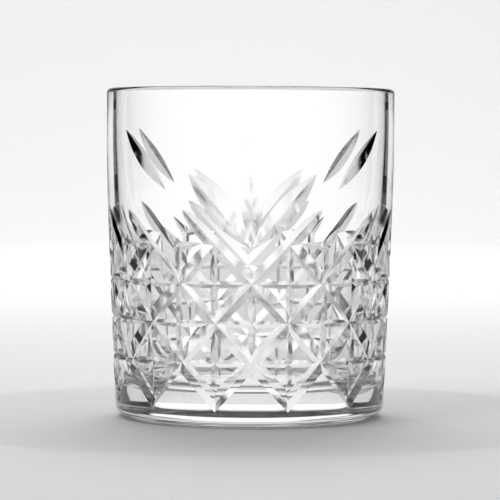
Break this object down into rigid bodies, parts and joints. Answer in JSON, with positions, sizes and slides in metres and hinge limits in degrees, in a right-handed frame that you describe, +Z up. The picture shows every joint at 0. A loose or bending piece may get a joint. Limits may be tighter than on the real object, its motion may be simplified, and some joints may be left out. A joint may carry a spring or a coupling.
{
  "type": "whiskey tumbler",
  "caption": "Straight-sided whiskey tumbler of thick clear glass, cut outside with a diamond lattice and fans of leaves, open at the top, for holding a drink.",
  "frame": {"origin": "centre of the circle on which the foot ring stands", "axes": "+Z up the axis of the tumbler towards its open mouth, -Y out through the middle of the front fan of leaves, +X to the right of it"},
  "size_m": [0.0824, 0.0824, 0.094],
  "materials": {
    "clear_glass": "clear polished glass"
  },
  "bodies": {
    "root": {"tumbler": "clear_glass"}
  },
  "joints": []
}
